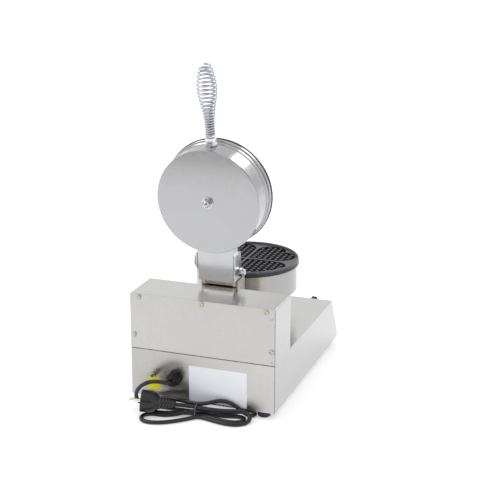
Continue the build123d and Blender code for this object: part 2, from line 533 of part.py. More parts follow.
# upper half pressed in; short trunnions turn in the switch body
rk = Pos(0, 0, ROCK_Z) * Rot(-9, 0, 0) * Pos(0, 0, 2.2) * rk
rk += Pos(0, 0, ROCK_Z) * cyl_x(1.5, -9.4, 9.4)
out("power_rocker", KN * rk)
lamps = []
for lx in (-30, 30):
    l = revolve_z([(0, -14), (4.9, -14), (4.9, 0.05), (6.4, 0.05), (6.4, 1.2), (5.6, 2.6), (3.4, 3.9), (0, 4.3)])
    lamps.append(KN * Pos(lx, 0, 0) * l)
out("indicator_lamps", lamps)
# terminal block on the bottom plate, wiring loom and the thermostat's capillary
tblk = box(18, 74, -62, -40, SHEET + 0.05, 20)
for k in range(4):
    tblk -= cyl_y(2.6, -70, -30, 25 + 14 * k, 13)
out("terminal_block", tblk)


def fillet_path(pts, closed=False):
    V = [Vector(*p) for p in pts]
    radii = []
    for a, b, c in zip(V, V[1:], V[2:]):
        r1, r2 = (b - a).length, (c - b).length
        turn = (b - a).get_angle(c - b)
        radii.append(0.45 * min(r1, r2) / math.tan(math.radians(turn / 2)))
    return V, radii


def tube(name, pts, dia, report=True):
    V, radii = fillet_path(pts)
    path = FilletPolyline(*pts, radius=radii)
    d = (V[1] - V[0]).normalized()
    prof = Plane(origin=V[0], z_dir=d) * Circle(dia / 2)
    t = sweep(prof, path=path, transition=Transition.RIGHT)
    L = path.length
    vol = t.volume
    if report:
        print(name, "length %.1f" % L, "min radius %.1f" % min(radii), "radii", [round(r) for r in radii],
              "volume ratio %.4f" % (vol / (math.pi * dia * dia / 4 * L)))
    return t, L


loom, _ = tube("wiring_loom", [(46, -34, 10), (45, -22, 22), (30, -20, 44), (12, -30, 66), (3, -42, 88), (0, -54, 110),
                               (0, -72, 128), (0, -92, 140), (1, -103, 158)], 7.0)
out("wiring_loom", loom)
th_end = KN * Pos(-KNOB_X, 0, -34.4)
p0 = th_end.position
cap_pts = [(p0.X, p0.Y, p0.Z), (-78, -302, 22), (-60, -284, 24), (-38, -266, 38), (-17, -246, 58), (-5, -229, 82),
           (1, -217, 112), (2, -214.5, 160)]
capil, _ = tube("thermostat_capillary", cap_pts, 2.4)
capil += cyl(3.2, 158.5, SEAT - 9.95, 2, -214.5)
out("thermostat_capillary", capil)

# ---------------------------------------------------------------- mains lead, hank, tie, plug
LEAD = [(GX, 26.2, GZ), (47.0, 34.2, 42.6), (55.2, 40.4, 46.8), (68.0, 42.0, 46.4), (80.6, 40.8, 41.6), (92.2, 38.4, 33.2),
        (100.4, 34.6, 23.0), (104.2, 31.2, 13.0), (104.2, 27.6, 3.4), (98.8, 22.6, -4.4), (86.5, 17.0, -3.2),
        (70.5, 13.6, 4.0), (54.0, 14.2, 7.0), (37.0, 16.8, 8.2), (24.0, 19.4, 8.8), (12.02, 21.4, 9.0)]
lead, lead_len = tube("mains_lead", LEAD, CORD_D)
out("mains_lead", lead)
FLOOR = -FOOT_H


def slab(pts, z0, z1, r):
    f = make_face(Polyline(*[(x, y, z0) for x, y in pts], close=True))
    b = extrude(f, amount=z1 - z0, dir=(0, 0, 1))
    return fillet(b.edges().filter_by(Axis.Z), r)


LOW = FLOOR + CORD_D
left = slab([(5, 46.5), (13, 54.5), (24, 65), (36, 74), (48, 80.5), (58, 82), (67, 82), (77.5, 77), (84.4, 66), (84.6, 55),
             (82, 46), (81.2, 33), (80.5, 24), (73, 17), (60, 15.5), (46, 15), (30, 14), (16, 12.4), (5, 12.6)],
            FLOOR + 0.05, LOW, 1.0)
right = slab([(-6, 38.5), (-16, 38), (-29, 41.2), (-43, 44.6), (-57, 46.4), (-70, 45.8), (-82.5, 40.4), (-90.8, 29), (-93.0, 17),
              (-91.0, 6), (-84, 3.5), (-60, 3.0), (-14, 5.2), (-6, 13.4)], FLOOR + 0.05, LOW, 1.0)
right += slab([(-6, 32), (-24, 29.5), (-40, 26.0), (-54, 21.5), (-68, 16.5), (-80, 14.5), (-88.5, 13), (-90, 7), (-84, 4.0),
               (-60, 2.0), (-20, 6), (-6, 15)], FLOOR + 0.05, 5.8, 1.0)
# loop end pushed under the back edge of the base
under = slab([(-90.2, 4.5), (-90.2, -7.0), (-86.4, -17.0), (-78.5, -20.6), (-69, -20.2), (-60, -12.6), (-52, -3), (-46, 4.5)],
             FLOOR + 0.05, LOW, 1.0)
arch = slab([(-6, 26.4), (-14, 24), (-26, 17), (-38, 11), (-50, 9.0), (-60, 8.8), (-60, 1.6), (-44, 2.0), (-30, 5), (-20, 11),
             (-6, 18.4)], FLOOR + 0.05, 16.4, 1.0)
# the strands pulled together at the tie: outline across the bundle
BUNDLE = [(13.4, -4.5), (13.4, -8.5), (16.0, -11.3), (35.5, -11.3), (38.0, -9.0), (38.0, -5.5), (33.2, 7.5), (30.5, 10.0),
          (24.0, 12.8), (20.0, 12.8), (18.0, 10.5)]


def offset_convex(pts, d):
    n, res = len(pts), []
    area = sum(pts[i][0] * pts[(i + 1) % n][1] - pts[(i + 1) % n][0] * pts[i][1] for i in range(n))
    sgn = 1.0 if area > 0 else -1.0
    lines = []
    for i in range(n):
        (x0, y0), (x1, y1) = pts[i], pts[(i + 1) % n]
        L = math.hypot(x1 - x0, y1 - y0)
        nx, ny_ = sgn * (y1 - y0) / L, -sgn * (x1 - x0) / L
        lines.append((nx, ny_, nx * x0 + ny_ * y0 + d))
    for i in range(n):
        a1, b1, c1 = lines[i - 1]
        a2, b2, c2 = lines[i]
        det = a1 * b2 - a2 * b1
        res.append(((c1 * b2 - c2 * b1) / det, (a1 * c2 - a2 * c1) / det))
    return res


mid = prism_x(BUNDLE, -14.0, 12.0)
hank = left + right + mid + arch + under
print("hank solids", len(hank.solids()))
# plug lying on the loops: middle of its face, turned and tipped
PLUG_X, PLUG_Y, PLUG_Z, PLUG_TILT, PLUG_TURN = 85.3, 54.0, 15.2, 6.5, 18.0
PL = Pos(PLUG_X, PLUG_Y, PLUG_Z) * Rot(0, 0, PLUG_TURN) * Rot(0, 90 - PLUG_TILT, 0)
RIBS = []
zr = -31.0
while zr > -54.0:
    r0 = 10.2 - (zr + 31.0) / -24.0 * 3.6
    RIBS += [(r0, zr), (r0 - 0.3, zr - 2.8), (r0 - 1.6, zr - 3.2), (r0 - 1.7, zr - 4.5)]
    zr -= 4.8
plug = revolve_z([(0, 0), (17.6, 0), (18.3, -0.8), (18.3, -10.0), (17.8, -18.0), (16.4, -22.0), (13.2, -26.5), (10.6, -29.6)]
                 + RIBS + [(5.6, -56.0), (5.6, -57.0), (0, -57.0)])
pin_a = math.radians(22.0)
# local axes of the plug: X points down, Y points back
for s in (-1, 1):
    gx, gy = s * 18.3 * math.cos(pin_a), s * 18.3 * math.sin(pin_a)
    notch = Rot(0, 0, math.degrees(math.atan2(gy, gx))) * box(15.6, 20, -4.0, 4.0, -16, 1)
    plug -= notch
out("plug_body", PL * plug)
pins = []
for s in (-1, 1):
    px_, py_ = -s * 9.5 * math.sin(pin_a), s * 9.5 * math.cos(pin_a)
    p = cyl(2.4, 0.05, 17.6, px_, py_) + Pos(px_, py_, 17.6) * revolve_z([(0, 0), (2.4, 0), (2.0, 1.0), (1.2, 1.6), (0, 1.8)])
    pins.append(p)
out("plug_pins", PL * Compound(children=pins))
end = (PL * Pos(0, 0, -57.0)).position
ax = (PL * Pos(0, 0, -58.0)).position - end
TAIL = [(end.X, end.Y, end.Z), (end.X + ax.X * 7, end.Y + ax.Y * 7, end.Z + ax.Z * 7), (16.0, 31.4, 7.3), (8.0, 29.9, 6.6)]
tail, tail_len = tube("plug_lead", TAIL, CORD_D)
hank -= tail
hank -= lead
hank = max(hank.solids(), key=lambda q: q.volume)
out("plug_lead", tail)
out("lead_hank", hank)
tie = prism_x(offset_convex(BUNDLE, 0.65), -1.6, 1.6) - prism_x(offset_convex(BUNDLE, 0.05), -3.0, 3.0)
tie = Pos(-1.0, 0, 0) * tie
out("hank_tie", tie)

print(len(written), "nodes")
bb = None
for n, ss in written.items():
    for s in ss:
        b = s.bounding_box()
        bb = b if bb is None else bb.add(b)
print("box", [round(v, 2) for v in (bb.min.X, bb.min.Y, bb.min.Z, bb.max.X, bb.max.Y, bb.max.Z)])
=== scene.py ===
import math

import bpy
import bmesh
from mathutils import Matrix, Vector


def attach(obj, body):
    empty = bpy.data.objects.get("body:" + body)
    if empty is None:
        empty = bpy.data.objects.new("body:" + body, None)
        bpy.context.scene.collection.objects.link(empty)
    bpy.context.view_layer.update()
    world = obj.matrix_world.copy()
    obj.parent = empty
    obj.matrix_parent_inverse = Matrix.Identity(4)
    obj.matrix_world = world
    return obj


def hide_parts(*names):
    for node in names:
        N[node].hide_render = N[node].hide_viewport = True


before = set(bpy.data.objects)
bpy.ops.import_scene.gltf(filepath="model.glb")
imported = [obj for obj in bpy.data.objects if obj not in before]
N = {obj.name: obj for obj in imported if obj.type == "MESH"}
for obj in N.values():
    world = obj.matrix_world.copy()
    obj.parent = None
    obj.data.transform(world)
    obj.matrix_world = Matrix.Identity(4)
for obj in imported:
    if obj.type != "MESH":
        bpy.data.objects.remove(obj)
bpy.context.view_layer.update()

scene = bpy.context.scene

# ------------------------------------------------------------------ coordinates
# P: millimetres from the machine's back face (y = 0), base underside (z = 0), to the frame in metres
OY, OZ = 177.195, 12.0
PIV_Y, PIV_Z, OPEN = -84.6, 204.6, math.radians(95.9)


def P(x, y, z):
    return Vector((x, y + OY, z + OZ)) / 1000.0


def LIDP(x, r, n):
    # along the lid from the hinge (r), out through the cap (n), lid open
    return P(x, PIV_Y - math.cos(OPEN) * r + math.sin(OPEN) * n, PIV_Z + math.sin(OPEN) * r + math.cos(OPEN) * n)


def HANP(a, b, s):
    # handle: s out along the grip, a sideways, b towards the cap side
    t = math.radians(4.4)
    return LIDP(a, 219.7 + math.cos(t) * s - math.sin(t) * b, 12.0 + math.sin(t) * s + math.cos(t) * b)


# ------------------------------------------------------------------ camera
az, el = math.radians(199.842), math.radians(16.939)
target = Vector((0.0, -0.005701, 0.239657))
back = Vector((math.sin(az) * math.cos(el), -math.cos(az) * math.cos(el), math.sin(el)))
cam_data = bpy.data.cameras.new("camera")
cam = bpy.data.objects.new("camera", cam_data)
scene.collection.objects.link(cam)
cam.location = target + back * 2.17223
cam.rotation_mode = "QUATERNION"
cam.rotation_quaternion = (-back).to_track_quat("-Z", "Y")
cam_data.lens = 94.897
cam_data.sensor_width = 36.0
cam_data.clip_start, cam_data.clip_end = 0.02, 200.0
scene.camera = cam
scene.view_settings.view_transform = "Standard"
scene.view_settings.look = "None"
scene.view_settings.exposure = 0.0
scene.view_settings.gamma = 1.0


# ------------------------------------------------------------------ node helpers
class Mat:
    def __init__(self, name):
        self.m = bpy.data.materials.new(name)
        self.m.use_nodes = True
        self.t = self.m.node_tree
        self.t.nodes.clear()
        self.out = self.t.nodes.new("ShaderNodeOutputMaterial")
        self.bsdf = self.t.nodes.new("ShaderNodeBsdfPrincipled")
        self.link(self.bsdf.outputs[0], self.out.inputs[0])

    def link(self, a, b):
        self.t.links.new(a, b)

    def n(self, kind, **kw):
        node = self.t.nodes.new(kind)
        for k, v in kw.items():
            setattr(node, k, v)
        return node

    def val(self, key, v):
        self.bsdf.inputs[key].default_value = v

    def math(self, op, a, b=None, clamp=False):
        nd = self.n("ShaderNodeMath", operation=op, use_clamp=clamp)
        for i, v in enumerate((a, b)):
            if v is None:
                continue
            if isinstance(v, (int, float)):
                nd.inputs[i].default_value = v
            else:
                self.link(v, nd.inputs[i])
        return nd.outputs[0]

    def obj(self):
        return self.n("ShaderNodeTexCoord").outputs["Object"]

    def mapping(self, vec, loc=(0, 0, 0), rot=(0, 0, 0), scale=(1, 1, 1), kind="POINT"):
        mp = self.n("ShaderNodeMapping", vector_type=kind)
        mp.inputs["Location"].default_value = loc
        mp.inputs["Rotation"].default_value = rot
        mp.inputs["Scale"].default_value = scale
        self.link(vec, mp.inputs["Vector"])
        return mp.outputs[0]

    def noise(self, vec, scale, detail=4.0, rough=0.5, distortion=0.0):
        nz = self.n("ShaderNodeTexNoise")
        nz.inputs["Scale"].default_value = scale
        nz.inputs["Detail"].default_value = detail
        nz.inputs["Roughness"].default_value = rough
        nz.inputs["Distortion"].default_value = distortion
        self.link(vec, nz.inputs["Vector"])
        return nz.outputs["Fac"]

    def range(self, v, a0, a1, b0, b1, clamp=True):
        r = self.n("ShaderNodeMapRange", clamp=clamp)
        r.inputs["From Min"].default_value = a0
        r.inputs["From Max"].default_value = a1
        r.inputs["To Min"].default_value = b0
        r.inputs["To Max"].default_value = b1
        self.link(v, r.inputs["Value"])
        return r.outputs[0]

    def mix(self, fac, a, b, blend="MIX"):
        mx = self.n("ShaderNodeMix", data_type="RGBA", blend_type=blend)
        if isinstance(fac, (int, float)):
            mx.inputs[0].default_value = fac
        else:
            self.link(fac, mx.inputs[0])
        for i, v in ((6, a), (7, b)):
            if isinstance(v, (tuple, list)):
                mx.inputs[i].default_value = (*v[:3], 1.0)
            else:
                self.link(v, mx.inputs[i])
        return mx.outputs[2]

    def bump(self, height, strength, distance, normal=None):
        b = self.n("ShaderNodeBump")
        b.inputs["Strength"].default_value = strength
        b.inputs["Distance"].default_value = distance
        self.link(height, b.inputs["Height"])
        if normal is not None:
            self.link(normal, b.inputs["Normal"])
        return b.outputs[0]


def lid_coords(m, vec):
    # object coordinates turned into the lid's own: x, r (up the open lid), n (out through the cap), in metres
    v = m.mapping(vec, loc=tuple(-c for c in P(0, PIV_Y, PIV_Z)))
    return m.mapping(v, rot=(-(math.pi / 2 - OPEN) * -1.0, 0, 0), kind="POINT")


def steel(name, grain="faces", base=(0.64, 0.635, 0.62), rough=0.27, aniso=0.55, streak=0.035, tint=0.02, scratch=0.06, axis=None, extra=None):
    """Brushed sheet steel. grain: 'faces' picks the direction from the face, 'x', 'y', 'z' is straight,
    'ring_z' and 'ring_lid' run round a turned wall, 'lid' runs up the open lid."""
    m = Mat(name)
    vec = m.obj()
    if axis is not None:
        vec = m.mapping(vec, loc=tuple(-c for c in axis))
    HI, MID, LOW = 1.0, 0.12, 0.012

    def straight(which):
        sc = {"x": (LOW, HI, HI), "y": (HI, LOW, HI), "z": (HI, HI, LOW)}[which]
        return m.mapping(vec, scale=sc)

    if grain == "faces":
        geo = m.n("ShaderNodeNewGeometry")
        sep = m.n("ShaderNodeSeparateXYZ")
        m.link(geo.outputs["True Normal"], sep.inputs[0])
        ax = m.math("GREATER_THAN", m.math("ABSOLUTE", sep.outputs[0]), 0.707)
        az_ = m.math("GREATER_THAN", m.math("ABSOLUTE", sep.outputs[2]), 0.66)
        mx1 = m.n("ShaderNodeMix", data_type="VECTOR")
        m.link(ax, mx1.inputs[0])
        m.link(straight("z"), mx1.inputs[4])
        m.link(straight("y"), mx1.inputs[5])
        mx2 = m.n("ShaderNodeMix", data_type="VECTOR")
        m.link(az_, mx2.inputs[0])
        m.link(mx1.outputs[1], mx2.inputs[4])
        m.link(straight("x"), mx2.inputs[5])
        gv = mx2.outputs[1]
        # tangent across the grain
        t1 = m.n("ShaderNodeMix", data_type="VECTOR")
        m.link(ax, t1.inputs[0])
        t1.inputs[4].default_value = (1, 0, 0)
        t1.inputs[5].default_value = (0, 0, 1)
        t2 = m.n("ShaderNodeMix", data_type="VECTOR")
        m.link(az_, t2.inputs[0])
        m.link(t1.outputs[1], t2.inputs[4])
        t2.inputs[5].default_value = (0, 1, 0)
        tangent = t2.outputs[1]
    elif grain in ("x", "y", "z"):
        gv = straight(grain)
        tangent = None
        tv = {"x": (0, 1, 0), "y": (1, 0, 0), "z": (1, 0, 0)}[grain]
    elif grain == "ring_z":
        gv = m.mapping(vec, scale=(LOW, LOW, HI))
        tangent, tv = None, (0, 0, 1)
    elif grain == "ring_lid":
        gv = m.mapping(lid_coords(m, vec), scale=(LOW, HI, LOW))
        tangent, tv = None, (0, 0.9947, -0.1028)
    elif grain == "lid":
        gv = m.mapping(lid_coords(m, vec), scale=(HI, HI, LOW))
        tangent, tv = None, (1, 0, 0)
    if tangent is None:
        cx = m.n("ShaderNodeCombineXYZ")
        for i in range(3):
            cx.inputs[i].default_value = tv[i]
        vt = m.n("ShaderNodeVectorTransform", vector_type="VECTOR", convert_from="OBJECT", convert_to="WORLD")
        m.link(cx.outputs[0], vt.inputs[0])
        tangent = vt.outputs[0]
    m.link(tangent, m.bsdf.inputs["Tangent"])
    fine = m.noise(gv, 1100.0, 2.0, 0.5)
    broad = m.noise(gv, 260.0, 3.0, 0.55)
    cloud = m.noise(vec, 9.0, 3.0, 0.55)
    smear = m.noise(vec, 26.0, 5.0, 0.6, 0.6)
    g = m.math("ADD", m.math("MULTIPLY", fine, 0.45), m.math("MULTIPLY", broad, 0.55))
    dark = tuple(c * (1.0 - streak) for c in base)
    light = tuple(min(1.0, c * (1.0 + streak)) for c in base)
    col = m.mix(m.range(g, 0.3, 0.7, 0.0, 1.0), dark, light)
    warm = tuple(c * k for c, k in zip(base, (1.0, 0.985, 0.95)))
    col = m.mix(m.math("MULTIPLY", m.range(cloud, 0.35, 0.7, 0.0, 1.0), tint * 10), col, warm)
    if extra is not None:
        col = extra(m, vec, col)
    m.link(col, m.bsdf.inputs["Base Color"])
    m.val("Metallic", 1.0)
    m.val("Anisotropic", aniso)
    r = m.math("ADD", m.range(g, 0.25, 0.75, rough - 0.05, rough + 0.06), m.range(smear, 0.3, 0.75, -0.025, 0.045))
    m.link(r, m.bsdf.inputs["Roughness"])
    m.link(m.bump(fine, scratch, 0.00001), m.bsdf.inputs["Normal"])
    return m.m


def plain_metal(name, base, rough, noise_scale=300.0, vary=0.06, rvary=0.08, bump=0.15, dist=0.00008, dirt=None):
    m = Mat(name)
    vec = m.obj()
    a = m.noise(vec, noise_scale, 5.0, 0.6)
    b = m.noise(vec, noise_scale * 0.15, 3.0, 0.5)
    col = m.mix(m.range(b, 0.3, 0.7, 0, 1), tuple(c * (1 - vary) for c in base), tuple(min(1, c * (1 + vary)) for c in base))
    if dirt is not None:
        col = m.mix(m.math("MULTIPLY", m.range(a, 0.52, 0.75, 0, 1), 0.7), col, dirt)
    m.link(col, m.bsdf.inputs["Base Color"])
    m.val("Metallic", 1.0)
    m.link(m.range(a, 0.25, 0.75, rough - rvary, rough + rvary), m.bsdf.inputs["Roughness"])
    m.link(m.bump(a, bump, dist), m.bsdf.inputs["Normal"])
    return m.m


def plastic(name, base, rough, spec=0.5, noise_scale=900.0, bump=0.2, dist=0.00008, vary=0.12, dust=0.0, coat=0.0):
    m = Mat(name)
    vec = m.obj()
    a = m.noise(vec, noise_scale, 4.0, 0.6)
    b = m.noise(vec, noise_scale * 0.06, 4.0, 0.55, 0.4)
    col = m.mix(m.range(b, 0.3, 0.7, 0, 1), tuple(c * (1 - vary) for c in base), tuple(min(1, c * (1 + vary)) for c in base))
    if dust:
        geo = m.n("ShaderNodeNewGeometry")
        sep = m.n("ShaderNodeSeparateXYZ")
        m.link(geo.outputs["Normal"], sep.inputs[0])
        up = m.range(sep.outputs[2], 0.2, 1.0, 0.0, dust)
        col = m.mix(m.math("MULTIPLY", up, m.range(b, 0.35, 0.7, 0.3, 1.0)), col, (0.42, 0.41, 0.40))
    m.link(col, m.bsdf.inputs["Base Color"])
    m.val("Specular IOR Level", spec)
    if coat:
        m.val("Coat Weight", coat)
        m.val("Coat Roughness", 0.08)
    m.link(m.range(a, 0.25, 0.75, max(rough - 0.07, 0.02), rough + 0.07), m.bsdf.inputs["Roughness"])
    m.link(m.bump(a, bump, dist), m.bsdf.inputs["Normal"])
    return m.m


# ------------------------------------------------------------------ materials


def spot(m, vec, centre, radii):
    # soft spot: 1 at the centre, 0 at the given radii
    v = m.mapping(vec, loc=tuple(-c for c in centre))
    v = m.mapping(v, scale=tuple(1.0 / r for r in radii))
    ln = m.n("ShaderNodeVectorMath", operation="LENGTH")
    m.link(v, ln.inputs[0])
    return m.range(ln.outputs["Value"], 0.0, 1.0, 1.0, 0.0)


def sheet_painted_shade(m, vec, col):
    # painted shade: on the folded sheet the sides and the slope are painted darker than the deck, the sides more so
    # higher up
    geo = m.n("ShaderNodeNewGeometry")
    sep = m.n("ShaderNodeSeparateXYZ")
    m.link(geo.outputs["True Normal"], sep.inputs[0])
    side = m.range(m.math("ABSOLUTE", sep.outputs[0]), 0.6, 0.9, 0.0, 1.0)
    front = m.range(sep.outputs[1], -0.7, -0.5, 1.0, 0.0)
    pos = m.n("ShaderNodeSeparateXYZ")
    m.link(vec, pos.inputs[0])
    # painted shade: the box top is painted darker towards the right end
    end = m.math("MULTIPLY", m.range(pos.outputs[0], -0.02, -0.12, 0.0, 1.0), m.range(pos.outputs[2], 0.184, 0.187, 0.0, 1.0))
    col = m.mix(m.math("MULTIPLY", end, 0.42), col, (0.33, 0.32, 0.31))
    # painted shade on the sides, stronger higher up, and on the slope
    low = m.range(pos.outputs[2], 0.02, 0.16, 0.34, 0.52)
    col = m.mix(m.math("MULTIPLY", side, low), col, (0.415, 0.415, 0.425))
    return m.mix(m.math("MULTIPLY", front, 0.72), col, (0.42, 0.42, 0.43))


SCREWS = [(-109.6, 173.3), (0.0, 173.3), (109.6, 173.3), (-119.0, 107.0), (119.0, 107.0)]


def back_dirt_and_shade(m, vec, col):
    # painted shade in the seam and over the lead entry, dirt along the folded edge, a few brown specks
    sep = m.n("ShaderNodeSeparateXYZ")
    m.link(vec, sep.inputs[0])
    z = sep.outputs[2]
    nz = m.noise(vec, 160.0, 5.0, 0.6)
    # painted shade: a dark line along the seam between the back panel and the cover
    seam_shade = m.range(m.math("ABSOLUTE", m.math("SUBTRACT", z, (82.45 + OZ) / 1000.0)), 0.0006, 0.0013, 1.0, 0.0)
    col = m.mix(m.math("MULTIPLY", seam_shade, m.range(nz, 0.3, 0.6, 0.5, 0.95)), col, (0.10, 0.08, 0.07))
    # shade and dirt under the screw heads
    for sx, sz in SCREWS:
        k = spot(m, vec, P(sx - 0.6, 0, sz - 1.1), (0.0058, 0.01, 0.0058))
        col = m.mix(m.math("MULTIPLY", m.range(k, 0.0, 0.35, 0.0, 1.0), m.range(nz, 0.3, 0.6, 0.35, 0.75)), col, (0.15, 0.13, 0.11))
    col = m.mix(m.range(z, 0.0945, 0.0950, 0.0, 0.5), col, (0.49, 0.487, 0.475))
    edge = m.range(sep.outputs[0], -0.1238, -0.1246, 0.0, 1.0)
    col = m.mix(m.math("MULTIPLY", edge, m.range(nz, 0.35, 0.6, 0.5, 0.95)), col, (0.13, 0.11, 0.10))
    # painted shade: the lower panel is painted a touch darker towards the lead side
    low = m.math("MULTIPLY", m.range(z, 0.0935, 0.0925, 0.0, 1.0), m.range(sep.outputs[0], -0.11, 0.05, 0.0, 1.0))
    col = m.mix(m.math("MULTIPLY", low, 0.40), col, (0.36, 0.345, 0.325))
    for c, r in ((P(-119.6, 0, 161.0), 0.0016), (P(-119.8, 0, 88.0), 0.0014), (P(96.0, 0, 103.0), 0.0008)):
        col = m.mix(m.math("MULTIPLY", m.range(spot(m, vec, c, (r, 0.01, r)), 0.0, 0.5, 0.0, 1.0), 0.85), col, (0.20, 0.11, 0.05))
    return col


def drum_heat(m, vec, col):
    # straw and brown heat tint on the drum wall and under the plate
    nz = m.noise(vec, 40.0, 4.0, 0.55, 0.5)
    a = spot(m, vec, P(-44.0, -141.5, 166.0), (0.020, 0.022, 0.030))
    col = m.mix(m.math("MULTIPLY", a, m.range(nz, 0.3, 0.65, 0.4, 1.0)), col, (0.46, 0.37, 0.20))
    sep = m.n("ShaderNodeSeparateXYZ")
    m.link(vec, sep.inputs[0])
    top = m.range(sep.outputs[2], 0.182, 0.192, 0.0, 0.45)
    return m.mix(m.math("MULTIPLY", top, m.range(nz, 0.35, 0.7, 0.1, 0.7)), col, (0.34, 0.28, 0.22))


def post_stain(m, vec, col):
    # browned band at the foot of the hinge
    nz = m.noise(vec, 120.0, 4.0, 0.6, 0.3)
    sep = m.n("ShaderNodeSeparateXYZ")
    m.link(vec, sep.inputs[0])
    low = m.range(sep.outputs[2], 0.1985, 0.2000, 1.0, 0.0)
    back = m.range(sep.outputs[1], 0.0915, 0.0925, 0.0, 1.0)
    return m.mix(m.math("MULTIPLY", m.math("MULTIPLY", low, back), m.range(nz, 0.3, 0.65, 0.5, 0.9)), col, (0.25, 0.20, 0.13))


def arm_lower_tone(m, vec, col):
    # the arm is lighter and warmer towards its lower end
    nz = m.noise(vec, 90.0, 5.0, 0.6, 0.4)
    sep = m.n("ShaderNodeSeparateXYZ")
    m.link(vec, sep.inputs[0])
    low = m.range(sep.outputs[2], 0.214, 0.240, 1.0, 0.0)
    return m.mix(m.math("MULTIPLY", low, m.range(nz, 0.3, 0.6, 0.75, 0.45)), col, (0.63, 0.612, 0.575))


def cap_tone(m, vec, col):
    nz = m.noise(vec, 14.0, 4.0, 0.55, 0.4)
    return m.mix(m.range(nz, 0.4, 0.7, 0.0, 0.22), col, (0.44, 0.435, 0.42))


M = {}
M["sheet"] = steel("sheet_steel", "faces", base=(0.600, 0.600, 0.590), rough=0.20, extra=sheet_painted_shade)
M["back_sheet"] = steel("back_sheet_steel", "z", base=(0.548, 0.543, 0.522), rough=0.29, extra=back_dirt_and_shade)
M["drum"] = steel("drum_steel", "ring_z", base=(0.40, 0.398, 0.395), rough=0.29, extra=drum_heat)
M["lid_wall"] = steel("lid_wall_steel", "ring_lid", base=(0.412, 0.412, 0.420), rough=0.16, aniso=0.4)
M["lid_cap"] = steel("lid_cap_steel", "lid", base=(0.455, 0.457, 0.466), rough=0.17, aniso=0.3, extra=cap_tone)
M["arm"] = steel("arm_steel", "lid", base=(0.53, 0.54, 0.555), rough=0.22, aniso=0.5, extra=arm_lower_tone)
M["post"] = steel("post_steel", "z", base=(0.55, 0.55, 0.54), rough=0.24, extra=post_stain)
M["bright"] = plain_metal("bright_zinc", (0.57, 0.57, 0.57), 0.17)
M["nut_bright"] = plain_metal("bright_zinc_nut", (0.76, 0.765, 0.77), 0.20)
M["chrome"] = plain_metal("chrome_wire", (0.515, 0.54, 0.585), 0.10, noise_scale=500.0, rvary=0.04, bump=0.05)
M["screw_yellow"] = plain_metal("yellow_passivated", (0.62, 0.58, 0.45), 0.24, dirt=(0.34, 0.27, 0.15))
M["brass"] = plain_metal("brass", (0.60, 0.54, 0.40), 0.22, dirt=(0.40, 0.33, 0.22))
M["tie_wire"] = plain_metal("tie_wire", (0.26, 0.26, 0.27), 0.34)
M["stud_dark"] = plain_metal("blackened_stud", (0.05, 0.05, 0.055), 0.42)
M["pins"] = plain_metal("plug_pins", (0.90, 0.85, 0.72), 0.34, noise_scale=600.0)


def cast_plate(name, top, lid=False):
    # cast non-stick plate: the rim, ridges and stud tips rubbed lighter, the pockets near black
    m = Mat(name)
    vec = m.obj()
    a = m.noise(vec, 420.0, 6.0, 0.65)
    b = m.noise(vec, 30.0, 4.0, 0.6, 0.3)
    c = m.noise(vec, 160.0, 4.0, 0.6)
    v = lid_coords(m, vec) if lid else vec
    sep = m.n("ShaderNodeSeparateXYZ")
    m.link(v, sep.inputs[0])
    if lid:
        up = m.range(sep.outputs[2], top + 0.0035, top + 0.0006, 0.0, 1.0)
    else:
        up = m.range(sep.outputs[2], top - 0.0040, top - 0.0016, 0.0, 1.0)
    col = m.mix(m.range(b, 0.3, 0.7, 0, 1), (0.012, 0.012, 0.015), (0.026, 0.025, 0.030))
    land = m.mix(m.range(c, 0.35, 0.65, 0, 1), (0.074, 0.069, 0.085), (0.122, 0.115, 0.134))
    col = m.mix(up, col, land)
    m.link(col, m.bsdf.inputs["Base Color"])
    m.val("Specular IOR Level", 0.5)
    m.link(m.range(a, 0.25, 0.75, 0.28, 0.44), m.bsdf.inputs["Roughness"])
    m.link(m.bump(a, 0.22, 0.00008), m.bsdf.inputs["Normal"])
    return m.m


M["plate"] = cast_plate("cast_nonstick_lower", 0.200)
M["plate_up"] = cast_plate("cast_nonstick_upper", 0.0055, True)


def plug_material():
    m = Mat("plug_rubber")
    vec = m.obj()
    a = m.noise(vec, 1100.0, 4.0, 0.6)
    b = m.noise(vec, 70.0, 4.0, 0.55, 0.4)
    col = m.mix(m.range(b, 0.3, 0.7, 0, 1), (0.009, 0.009, 0.011), (0.014, 0.014, 0.016))
    # slanted ribs round the relief, their edges rubbed grey
    v = m.mapping(vec, loc=tuple(-c for c in P(85.3, 54.0, 15.2)))

    def along(d):
        dn = m.n("ShaderNodeVectorMath", operation="DOT_PRODUCT")
        m.link(v, dn.inputs[0])
        dn.inputs[1].default_value = d
        return dn.outputs["Value"]
    t = along((0.9449, 0.3070, 0.1132))
    s_ = m.math("ADD", t, along((-0.05, 0.0, 0.42)))
    saw = m.math("FRACT", m.math("DIVIDE", s_, 0.0048))
    ridge = m.math("MULTIPLY", m.range(saw, 0.10, 0.22, 0.0, 1.0), m.range(saw, 0.34, 0.46, 1.0, 0.0))
    zone = m.math("MULTIPLY", m.range(t, -0.0290, -0.0300, 0.0, 1.0), m.range(t, -0.0545, -0.0555, 1.0, 0.0))
    ridge = m.math("MULTIPLY", ridge, zone)
    col = m.mix(m.math("MULTIPLY", ridge, m.range(b, 0.3, 0.6, 0.55, 0.95)), col, (0.085, 0.085, 0.088))
    m.link(col, m.bsdf.inputs["Base Color"])
    m.val("Specular IOR Level", 0.45)
    m.link(m.range(a, 0.25, 0.75, 0.26, 0.40), m.bsdf.inputs["Roughness"])
    m.link(m.bump(a, 0.15, 0.00008), m.bsdf.inputs["Normal"])
    return m.m


